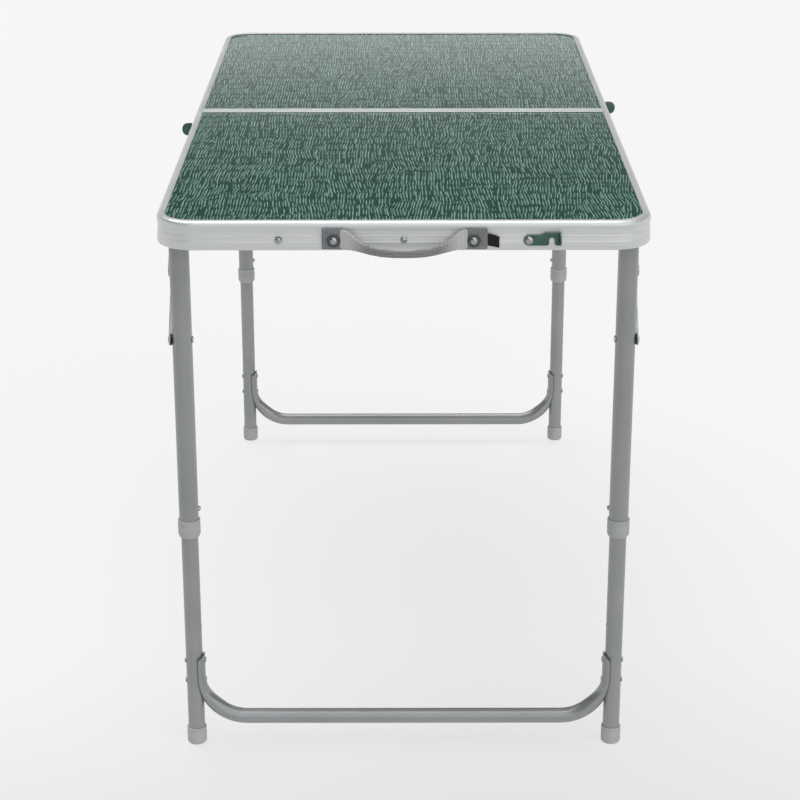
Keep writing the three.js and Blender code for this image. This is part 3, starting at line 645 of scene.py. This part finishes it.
# %% Brace
BRACE_RADIUS, BRACE_Z, BRACE_BEND, BEND_START = 10.0, 38.0, 56.0, 207.0
BRACE_TOP = 131.0
PRESS_START, PRESS_END = 58.0, 96.0
CRESCENT_RADIUS, CRESCENT_HALF_WALL, CRESCENT_SPREAD = 12.85, 1.4, math.radians(66)
SLANT = 0.9


def pressed(co):
    """Where the press leaves a point of the bent tube, on the +X side."""
    pivot_z = BRACE_Z + BRACE_BEND
    if co.z > pivot_z:
        outward = co.x - BEND_START - BRACE_BEND
    else:
        outward = math.hypot(co.x - BEND_START, pivot_z - co.z) - BRACE_BEND
    a = max(-1, min(1, outward / BRACE_RADIUS))
    b = max(-1, min(1, (co.y - LEG_Y) / BRACE_RADIUS))
    share = max(0, min(1, (co.z - PRESS_START) / (PRESS_END - PRESS_START)))
    share = share * share * (3 - 2 * share)
    spread = CRESCENT_SPREAD * b
    radius = CRESCENT_RADIUS - CRESCENT_HALF_WALL * math.copysign(abs(a) ** 0.45, a)
    target = Vector((LEG_X - radius * math.cos(spread), LEG_Y + radius * math.sin(spread), co.z))
    moved = co.lerp(target, share)
    away = Vector((moved.x - LEG_X, moved.y - LEG_Y))
    closest = LOWER_RADIUS + 0.35
    if away.length < closest and co.z > PRESS_START:
        away *= closest / away.length
        moved.x, moved.y = LEG_X + away.x, LEG_Y + away.y
    return moved


def brace_bm():
    bm = bmesh.new()
    ring = Matrix.Translation((0, LEG_Y, BRACE_Z)) @ AXES["+X"]
    bmesh.ops.create_circle(bm, segments=36, radius=BRACE_RADIUS, matrix=ring)
    edges = pulled(bm, list(bm.edges), (BEND_START, 0, 0))
    edges = bent(bm, edges, (BEND_START, LEG_Y, BRACE_Z + BRACE_BEND), axis=(0, -1, 0), steps=18)
    for step in range(8):
        edges = pulled(bm, edges, (0, 0, (BRACE_TOP - BRACE_Z - BRACE_BEND) / 8))
    bmesh.ops.contextual_create(bm, geom=edges)
    for vert in bm.verts:
        if vert.co.x > BEND_START:
            top = vert.co.z > BRACE_TOP - 0.01
            vert.co = pressed(vert.co)
            if top:
                vert.co.z -= SLANT * (vert.co.x - (LEG_X - CRESCENT_RADIUS - CRESCENT_HALF_WALL))
    bmesh.ops.mirror(bm, geom=list(bm.verts) + list(bm.edges) + list(bm.faces), axis="X", merge_dist=0.01)
    return bm


BRACE_RIVETS = (92.0, 121.0)
for half in HALVES:
    finish_piece(f"{half}_leg_brace", brace_bm(), grey_enamel, f"{half}_brace", half, sharp_degrees=50)
    bm = bmesh.new()
    for sign in SIDES.values():
        outward, inward = ("+X", "-X") if sign > 0 else ("-X", "+X")
        for level in BRACE_RIVETS:
            join(bm, dome(3.9, 1.8), set_at(sign * (LEG_X + LOWER_RADIUS + 0.2), LEG_Y, level, outward))
            inner = sign * (LEG_X - CRESCENT_RADIUS - CRESCENT_HALF_WALL)
            join(bm, dome(3.9, 1.7), set_at(inner, LEG_Y, level, inward))
    finish_piece(f"{half}_brace_rivets", bm, zinc_plate, f"{half}_brace", half, replace=False)

# %% [markdown]
# ## The folding stays
# Two flat zinc-plated bars on each leg meet at a knee and stop the leg from folding by itself. Each is
# an outline with fully rounded ends. A black nylon washer keeps the lower bar off the leg's enamel.

# %% Stays
def bar(start, end, half_width, thickness):
    """A bar in the YZ plane with round ends, lying at x = 0 with its thickness towards +X."""
    run = Vector(end) - Vector(start)
    along = run.normalized()
    beyond = run.length + half_width
    round_end = half_width - 0.05
    corners = [(-half_width, -half_width, round_end), (beyond, -half_width, round_end),
               (beyond, half_width, round_end), (-half_width, half_width, round_end)]
    bm = thickened(outline(corners, segments=8), thickness, 0.3)
    place = axes_matrix((0, along.x, along.y), (0, -along.y, along.x), (1, 0, 0), (0, *start))
    bmesh.ops.transform(bm, matrix=place, verts=bm.verts)
    return bm


def stay_ends():
    """Leg rivet, knee and frame pivot in (y, z), from the boxes of the two bars."""
    half_width = 8.0
    lower_box, upper_box = box_mm("near_right_lower_stay"), box_mm("near_right_upper_stay")
    leg = (LEG_Y, lower_box[0].z + half_width)
    knee = (upper_box[0].y - MID_Y + half_width, upper_box[0].z + half_width)
    pivot = (upper_box[1].y - MID_Y - half_width, upper_box[1].z - half_width)
    return leg, knee, pivot


STAY_LEG, STAY_KNEE, STAY_PIVOT = stay_ends()
STAY_THICKNESS, BAR_HALF_WIDTH = 1.8, 7.9
LOWER_BAR_X, UPPER_BAR_X = 289.2, 292.9
print("stay pins", [tuple(round(v, 1) for v in p) for p in (STAY_LEG, STAY_KNEE, STAY_PIVOT)])
for half in HALVES:
    for side, sign in SIDES.items():
        label = f"{half}_{side}"
        outward, inward = ("+X", "-X") if sign > 0 else ("-X", "+X")
        flip = Matrix.Scale(sign, 4, (1, 0, 0))
        bm = bmesh.new()
        lower_place = Matrix.Translation((LOWER_BAR_X * sign, 0, 0)) @ flip
        join(bm, bar(STAY_LEG, STAY_KNEE, BAR_HALF_WIDTH, STAY_THICKNESS), lower_place)
        face = sign * (LOWER_BAR_X + STAY_THICKNESS)
        join(bm, dome(4.8, 1.6), set_at(face, *STAY_LEG, outward))
        join(bm, dome(4.8, 1.6), set_at(face, *STAY_KNEE, outward))
        join(bm, dome(4.6, 1.8), set_at(sign * (LEG_X - UPPER_RADIUS - 0.1), *STAY_LEG, inward))
        finish_piece(f"{label}_lower_bar", bm, zinc_plate, f"{label}_lower_stay", half)
        bm = bmesh.new()
        join(bm, disc(7.0, 2.6, 0, 1.5), set_at(sign * (LEG_X + UPPER_RADIUS + 0.2), *STAY_LEG, outward))
        finish_piece(f"{label}_stay_washer", bm, black_nylon, f"{label}_lower_stay", half, replace=False)
        bm = bmesh.new()
        upper_place = Matrix.Translation((UPPER_BAR_X * sign, 0, 0)) @ flip
        join(bm, bar(STAY_KNEE, STAY_PIVOT, BAR_HALF_WIDTH, STAY_THICKNESS), upper_place)
        join(bm, dome(3.9, 0.8), set_at(sign * (UPPER_BAR_X + STAY_THICKNESS), *STAY_KNEE, outward))
        finish_piece(f"{label}_upper_bar", bm, zinc_plate, f"{label}_upper_stay", half)

# %% [markdown]
# ## Brackets and hinges
# The pivot brackets and the lug hinges sit inside the rail and show only from below. Their CAD shapes
# are right, so each is a merged copy of its node, with a small bevel that catches the light along
# every edge as rolled steel does.

# %% Refined copies
def refined_copy(name, node, material, width_mm=0.35):
    source = frame["nodes"][node].data
    bm = bmesh.new()
    bm.from_mesh(source)
    bmesh.ops.remove_doubles(bm, verts=bm.verts, dist=1e-6)
    bmesh.ops.dissolve_limit(bm, angle_limit=math.radians(2), verts=bm.verts, edges=bm.edges)
    mesh = bpy.data.meshes.new(name)
    bm.to_mesh(mesh)
    bm.free()
    mesh.materials.clear()
    mesh.materials.append(material)
    mesh.shade_smooth()
    mesh.set_sharp_from_angle(angle=math.radians(40))
    piece = bpy.data.objects.new(name, mesh)
    bpy.context.scene.collection.objects.link(piece)
    bevel = piece.modifiers.new("rolled_edge", "BEVEL")
    bevel.width = width_mm * MM
    bevel.segments = 2
    bevel.limit_method = "ANGLE"
    bevel.angle_limit = math.radians(40)
    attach(piece, BODY_OF[node])
    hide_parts(node)
    print(name, len(mesh.polygons), "faces")
    return piece


for half in HALVES:
    for side in SIDES:
        refined_copy(f"{half}_{side}_pivot_bracket", f"{half}_{side}_bracket", zinc_plate)
        refined_copy(f"{half}_{side}_lug_hinge", f"{half}_{side}_hinge", zinc_plate)

# %% [markdown]
# ## The latches
# When the table is folded, a green hook on each half swings over a stud on the other. The hook is
# stamped from plate: a round pivot end, a straight arm, and a taller head with a slot below. Its tip is
# bent out into a round thumb tab. The outline gives all of it but the tab.

# %% Hooks and studs
HOOK_THICKNESS, HOOK_GAP, TAB_THICKNESS = 2.0, 0.4, 1.9
HARDWARE_Z = RAIL_BOTTOM + 13.2
HARDWARE_X = 150.0
SIDE_HOOK_Y, SIDE_STUD_Y = -22.0, -14.0
RIVET_SHANK_RADIUS = 2.4
END_HOOK = (27.2, -6.3, 9.3, 10.9)  # reach, then the tab's low and high edges and its tip
SIDE_HOOK = (36.0, 1.2, 19.3, 14.9)


def hook_bm(reach, low, high, tip):
    """A hook along +X from its pivot, outer face towards -Y, with a tab from low to high."""
    slot, end = 3.4, reach + 11
    corners = [
        (-6.5, -6.5, 6.4), (reach - 5, -6.5, 0.8), (reach - slot, -4.6, 0.6), (reach - slot, 3.4, 3.3),
        (reach + slot, 3.4, 3.3), (reach + slot, -4.6, 0.6), (reach + 5, -6.5, 0.8), (end, -6.5, 0.6),
        (end, 9.5, 0.6), (reach - 8, 9.5, 1.6), (reach - 13, 6.5, 3), (-6.5, 6.5, 6.4),
    ]
    bm = bmesh.new()
    plate = thickened(outline(corners, segments=5), HOOK_THICKNESS, 0.4)
    join(bm, plate, axes_matrix((1, 0, 0), (0, 0, 1), (0, -1, 0), (0, -HOOK_GAP, 0)))
    curve = (high - low) * 0.45
    tab_corners = [(low, 0.8, 0.4), (high, 0.8, 0.4), (high, tip, curve), (low, tip, curve)]
    tab = thickened(outline(tab_corners), TAB_THICKNESS, 0.4)
    join(bm, tab, axes_matrix((0, 0, 1), (0, -1, 0), (1, 0, 0), (end - TAB_THICKNESS, 0, 0)))
    return bm


def fastener(bm, x, stand_off, radius, thickness):
    """A rivet through the end rail with its head towards -Y."""
    y = END_Y - stand_off
    join(bm, dome(radius, thickness, sink=0.4), set_at(x, y, HARDWARE_Z, "-Y"))
    join(bm, dome(4.2, 1.4), set_at(x, END_Y + 3.4, HARDWARE_Z, "+Y"))
    top = stand_off + 0.2
    shank = [(0, -3), (RIVET_SHANK_RADIUS, -3), (RIVET_SHANK_RADIUS, top), (0, top)]
    join(bm, turned(shank, steps=20), set_at(x, END_Y, HARDWARE_Z, "-Y"))


for half in HALVES:
    bm = bmesh.new()
    join(bm, hook_bm(*END_HOOK), Matrix.Translation((HARDWARE_X, END_Y, HARDWARE_Z)))
    finish_piece(f"{half}_end_latch", bm, green_enamel, f"{half}_end_hook", half)
    bm = bmesh.new()
    fastener(bm, HARDWARE_X, HOOK_GAP + HOOK_THICKNESS, 4.9, 2.2)
    finish_piece(f"{half}_latch_rivet", bm, zinc_plate, f"{half}_hook_rivet", half)
    bm = bmesh.new()
    fastener(bm, -HARDWARE_X, HOOK_GAP + HOOK_THICKNESS + 0.6, 3.9, 1.8)
    join(bm, disc(4.6, 2.3, 0, 0.7), set_at(-HARDWARE_X, END_Y - 0.1, HARDWARE_Z, "-Y"))
    finish_piece(f"{half}_keeper", bm, zinc_plate, f"{half}_keeper_stud", half)
    bm = bmesh.new()
    pivot = Matrix.Translation((-HALF_WIDTH, SIDE_HOOK_Y, HARDWARE_Z))
    join(bm, hook_bm(*SIDE_HOOK), pivot @ Matrix.Rotation(-math.pi / 2, 4, "Z"))
    finish_piece(f"{half}_side_latch", bm, green_enamel, f"{half}_side_hook", half)
    bm = bmesh.new()
    hook_face = -HALF_WIDTH - HOOK_GAP - HOOK_THICKNESS
    join(bm, dome(4.9, 2.0, sink=0.4), set_at(hook_face, SIDE_HOOK_Y, HARDWARE_Z, "-X"))
    finish_piece(f"{half}_side_rivet", bm, zinc_plate, f"{half}_side_hook", half, replace=False)
    bm = bmesh.new()
    shank = [(0, -0.5), (RIVET_SHANK_RADIUS, -0.5), (RIVET_SHANK_RADIUS, 3), (0, 3)]
    join(bm, turned(shank, steps=20), set_at(HALF_WIDTH, SIDE_STUD_Y, HARDWARE_Z, "+X"))
    join(bm, dome(4.5, 1.6), set_at(HALF_WIDTH + 2.95, SIDE_STUD_Y, HARDWARE_Z, "+X"))
    finish_piece(f"{half}_side_stud", bm, zinc_plate, f"{half}_frame", half, replace=False)

# %% [markdown]
# ## The carrying handle
# The handle is one length of webbing. Its flat ends are doubled and sewn into square patches, held by
# a washer and a domed screw, and between them the webbing is folded lengthwise and sewn into a
# narrow grip that bows out for the fingers. The grip is a chain of rings, wide and thin at the ends
# and narrow and thick in the middle, joined with bridge loops.

# %% Handle
GRIP_STATIONS = [  # x, distance out, height, half height, half thickness
    (-76, 1.9, 15.2, 12.4, 1.0), (-71, 2.6, 14.9, 12.2, 1.1), (-66, 4.4, 13.6, 11.2, 1.3),
    (-60, 7.4, 11.2, 9.0, 1.9), (-54, 10.8, 8.9, 7.0, 2.5), (-47, 14.2, 6.6, 5.5, 2.9),
    (-38, 17.8, 4.7, 4.9, 3.1), (-27, 20.6, 3.2, 4.7, 3.2), (-14, 22.1, 2.4, 4.6, 3.2),
]
GRIP_MIDDLE = (0, 22.4, 2.2, 4.6, 3.2)
PATCH_CENTRES = (-85.0, 87.0)
SCREWS = {"left": -84.0, "right": 84.0}
PATCH_HALF, PATCH_LOW, PATCH_HIGH, PATCH_DEPTH = 13.0, 2.4, 28.0, 2.6
SEAM_INSET = 2.2
strap_face = END_Y - HOOK_GAP


def grip_bm():
    bm = bmesh.new()
    stations = [*GRIP_STATIONS, GRIP_MIDDLE, *((-s[0], *s[1:]) for s in reversed(GRIP_STATIONS))]
    loops = []
    for index, (x, out, level, tall, thick) in enumerate(stations):
        before = stations[max(index - 1, 0)]
        after = stations[min(index + 1, len(stations) - 1)]
        lean = math.atan2(-(after[1] - before[1]), after[0] - before[0])
        section = bmesh.ops.create_circle(bm, segments=28, radius=1.0)["verts"]
        for vert in section:
            across, up = vert.co.x, vert.co.y
            crease = 1 - 0.28 * math.exp(-((up / 0.22) ** 2)) * (tall < 6.5)
            flat = math.copysign(abs(across) ** 0.6, across) * crease
            vert.co = Vector((0, flat * thick, up * tall))
        centre = Matrix.Translation((x, strap_face - out, RAIL_BOTTOM + level))
        bmesh.ops.transform(bm, matrix=centre @ Matrix.Rotation(lean, 4, "Z"), verts=section)
        loops.append([e for e in bm.edges if all(v in section for v in e.verts)])
    for first, second in zip(loops, loops[1:]):
        bmesh.ops.bridge_loops(bm, edges=first + second)
    for end in (loops[0], loops[-1]):
        bmesh.ops.contextual_create(bm, geom=end)
    return bm


def patch_bm(x):
    corners = [(-PATCH_HALF, PATCH_LOW, 1.5), (PATCH_HALF, PATCH_LOW, 1.5), (PATCH_HALF, PATCH_HIGH, 1.5),
               (-PATCH_HALF, PATCH_HIGH, 1.5)]
    bm = bmesh.new()
    patch = thickened(outline(corners, segments=3), PATCH_DEPTH, 0.7)
    join(bm, patch, axes_matrix((1, 0, 0), (0, 0, 1), (0, -1, 0), (x, strap_face, RAIL_BOTTOM)))
    return bm


def stitches(bm, start, end, face_y, pitch=2.6):
    """A row of raised stitches between two (x, height) points."""
    run = Vector(end) - Vector(start)
    count = max(2, round(run.length / pitch))
    for step in range(count):
        spot = Vector(start) + run * ((step + 0.5) / count)
        turn = Matrix.Rotation(-math.atan2(run.y, run.x), 4, "Y")
        place = Matrix.Translation((spot.x, face_y, RAIL_BOTTOM + spot.y)) @ turn
        size = Matrix.Diagonal((0.85, 0.32, 0.34, 1))
        bmesh.ops.create_icosphere(bm, subdivisions=1, radius=1.0, matrix=place @ size)


bm = grip_bm()
finish_piece("carrying_grip", bm, grip_webbing, "handle_strap", sharp_degrees=70)
patch_pair, sewing = bmesh.new(), bmesh.new()
front = strap_face - PATCH_DEPTH
for x in PATCH_CENTRES:
    join(patch_pair, patch_bm(x))
    left, right = x - PATCH_HALF + SEAM_INSET, x + PATCH_HALF - SEAM_INSET
    low, high = PATCH_LOW + SEAM_INSET, PATCH_HIGH - SEAM_INSET
    box_corners = [(left, low), (right, low), (right, high), (left, high)]
    for start, end in zip(box_corners, box_corners[1:] + box_corners[:1]):
        stitches(sewing, start, end, front)
finish_piece("handle_patches", patch_pair, patch_webbing, "handle_strap", replace=False)
finish_piece("patch_stitches", sewing, thread, "handle_strap", replace=False)
for side, x in SCREWS.items():
    bm = bmesh.new()
    fastener(bm, x, HOOK_GAP + PATCH_DEPTH + 0.7, 4.4, 2.8)
    finish_piece(f"handle_{side}_dome_screw", bm, zinc_plate, f"handle_{side}_screw")
    bm = disc(8.4, 2.6, 0, 0.9, soft=0.4)
    bmesh.ops.transform(bm, matrix=set_at(x, front + 0.1, HARDWARE_Z, "-Y"), verts=bm.verts)
    finish_piece(f"handle_{side}_washer", bm, blackened_zinc, f"handle_{side}_screw", replace=False)
bm = bmesh.new()
fastener(bm, 0, 0.2, 3.6, 1.5)
join(bm, disc(4.3, 2.0, 0, 0.5), set_at(0, END_Y, HARDWARE_Z, "-Y"))
finish_piece("rail_rivet", bm, zinc_plate, "center_rivet")

# %% [markdown]
# ## The label
# A small black woven label is caught behind the right patch. It is left plain.

# %% Label
LABEL_X = 100.4
bm = bmesh.new()
slanted = [(0, 4, 0.3), (14, 1, 0.3), (14, 15, 0.3), (0, 19, 0.3)]
flag = thickened(outline(slanted, segments=2), 0.9, 0.25)
join(bm, flag, axes_matrix((1, 0, 0), (0, 0, 1), (0, -1, 0), (LABEL_X, END_Y - 1.2, RAIL_BOTTOM + 3)))
finish_piece("side_label", bm, black_label, "label_tag")

# %% [markdown]
# ## The studio
# The table stands on a pale floor lit from beneath as well as above, like a light table, so that the
# shadows stay faint. Its glow is painted stronger under and behind the table and weaker towards the
# front, a painted pool of light. The walls are a soft gradient: bright low down, where the floor
# sweeps up, and dim overhead. The glossy top mirrors that bright band at its far end and the dim part
# near the lens, which is why its print fades with distance. The wall at the front is dimmer than the
# others, so the round legs are a little darker down the middle than along their sides. Both lamps are
# wide, because the top would mirror a small one as a white patch.

# %% Floor, light and surroundings
floor_material, tree, shader = new_finish("pale_studio_floor", Roughness=0.9)
shader.inputs["Base Color"].default_value = linear("#6c6c6c")
shader.inputs["Emission Color"].default_value = linear("#ffffff")
spot = add(tree, "ShaderNodeTexCoord").outputs["Object"]
toward_front = add(tree, "ShaderNodeSeparateXYZ", {0: spot})
# Painted light: the floor's glow is strongest under and behind the table and fades towards the front.
painted_light_pool = add(tree, "ShaderNodeMapRange", {
    "Value": toward_front.outputs[1], "From Min": -1.3, "From Max": -0.2, "To Min": 0.53, "To Max": 0.71,
}, interpolation_type="SMOOTHSTEP")
tree.links.new(painted_light_pool.outputs[0], shader.inputs["Emission Strength"])
bpy.ops.mesh.primitive_plane_add(size=80, location=(0, 0, 0))
floor = bpy.context.object
floor.name = "studio_floor"
floor.data.materials.append(floor_material)

world = bpy.data.worlds.new("studio_sweep")
world.use_nodes = True
bpy.context.scene.world = world
tree = world.node_tree
direction = add(tree, "ShaderNodeTexCoord").outputs["Generated"]
elevation = add(tree, "ShaderNodeSeparateXYZ", {0: direction}).outputs[2]
ramp = add(tree, "ShaderNodeValToRGB", {0: elevation})
ramp.color_ramp.interpolation = "EASE"
SWEEP = [(0.0, 0.92), (0.1, 1.0), (0.172, 1.25), (0.2, 0.32), (0.235, 0.04), (0.6, 0.03), (1.0, 0.7)]
for index, (position, grey) in enumerate(SWEEP):
    stop = ramp.color_ramp.elements[index] if index < 2 else ramp.color_ramp.elements.new(position)
    stop.position = position
    stop.color = (grey, grey, grey, 1)
background = tree.nodes["Background"]
tree.links.new(ramp.outputs[0], background.inputs[0])
depth = add(tree, "ShaderNodeSeparateXYZ", {0: direction}).outputs[1]
dim_behind = add(tree, "ShaderNodeMapRange", {
    "Value": depth, "From Min": -0.9, "From Max": -0.2, "To Min": 0.3, "To Max": 1.0,
})
tree.links.new(dim_behind.outputs[0], background.inputs[1])

for name, strength, spread, tilt in (
    ("overhead_softbox", 2.1, 60, (-14, -12, 0)),
    ("front_softbox", 1.65, 80, (48, 34, 0)),
):
    light_data = bpy.data.lights.new(name, "SUN")
    light_data.energy = strength
    light_data.angle = math.radians(spread)
    light = bpy.data.objects.new(name, light_data)
    bpy.context.scene.collection.objects.link(light)
    light.rotation_euler = tuple(math.radians(a) for a in tilt)
bpy.context.scene.view_settings.view_transform = "Standard"
print("studio ready")
